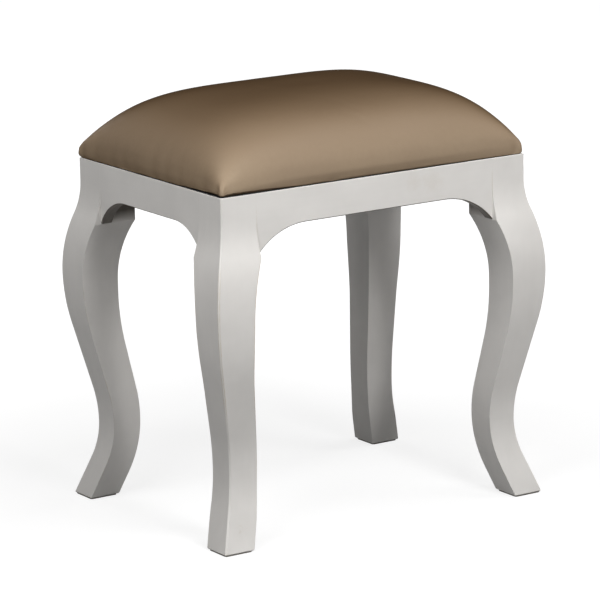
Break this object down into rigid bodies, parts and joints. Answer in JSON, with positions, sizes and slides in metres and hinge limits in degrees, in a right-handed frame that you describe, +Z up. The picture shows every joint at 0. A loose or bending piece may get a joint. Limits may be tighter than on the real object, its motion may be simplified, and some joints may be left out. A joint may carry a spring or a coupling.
{
  "type": "upholstered dressing stool",
  "caption": "Low rectangular stool with painted cabriole legs, arched aprons flush with the leg tops, and a crowned upholstered seat pad, for sitting at a dressing table.",
  "frame": {"origin": "middle of the footprint, on the floor", "axes": "+Z up, +X along the long side, -Y the front"},
  "size_m": [0.445, 0.338, 0.483],
  "materials": {
    "painted_wood": "satin",
    "bare_wood": "matte",
    "plywood": "matte",
    "screw_steel": "satin",
    "foam": "matte",
    "wadding": "matte",
    "seat_fabric": "satin",
    "lining": "matte",
    "felt": "matte"
  },
  "bodies": {
    "root": {"apron_back": "painted_wood", "apron_front": "painted_wood", "apron_left": "painted_wood", "apron_right": "painted_wood", "corner_block_back_left": "bare_wood", "corner_block_back_right": "bare_wood", "corner_block_front_left": "bare_wood", "corner_block_front_right": "bare_wood", "corner_block_screws": "screw_steel", "dust_cover": "lining", "foot_pad_back_left": "felt", "foot_pad_back_right": "felt", "foot_pad_front_left": "felt", "foot_pad_front_right": "felt", "leg_back_left": "painted_wood", "leg_back_right": "painted_wood", "leg_front_left": "painted_wood", "leg_front_right": "painted_wood", "seat_board": "plywood", "seat_cover": "seat_fabric", "seat_foam": "foam", "seat_screws": "screw_steel", "seat_wadding": "wadding"}
  },
  "joints": []
}
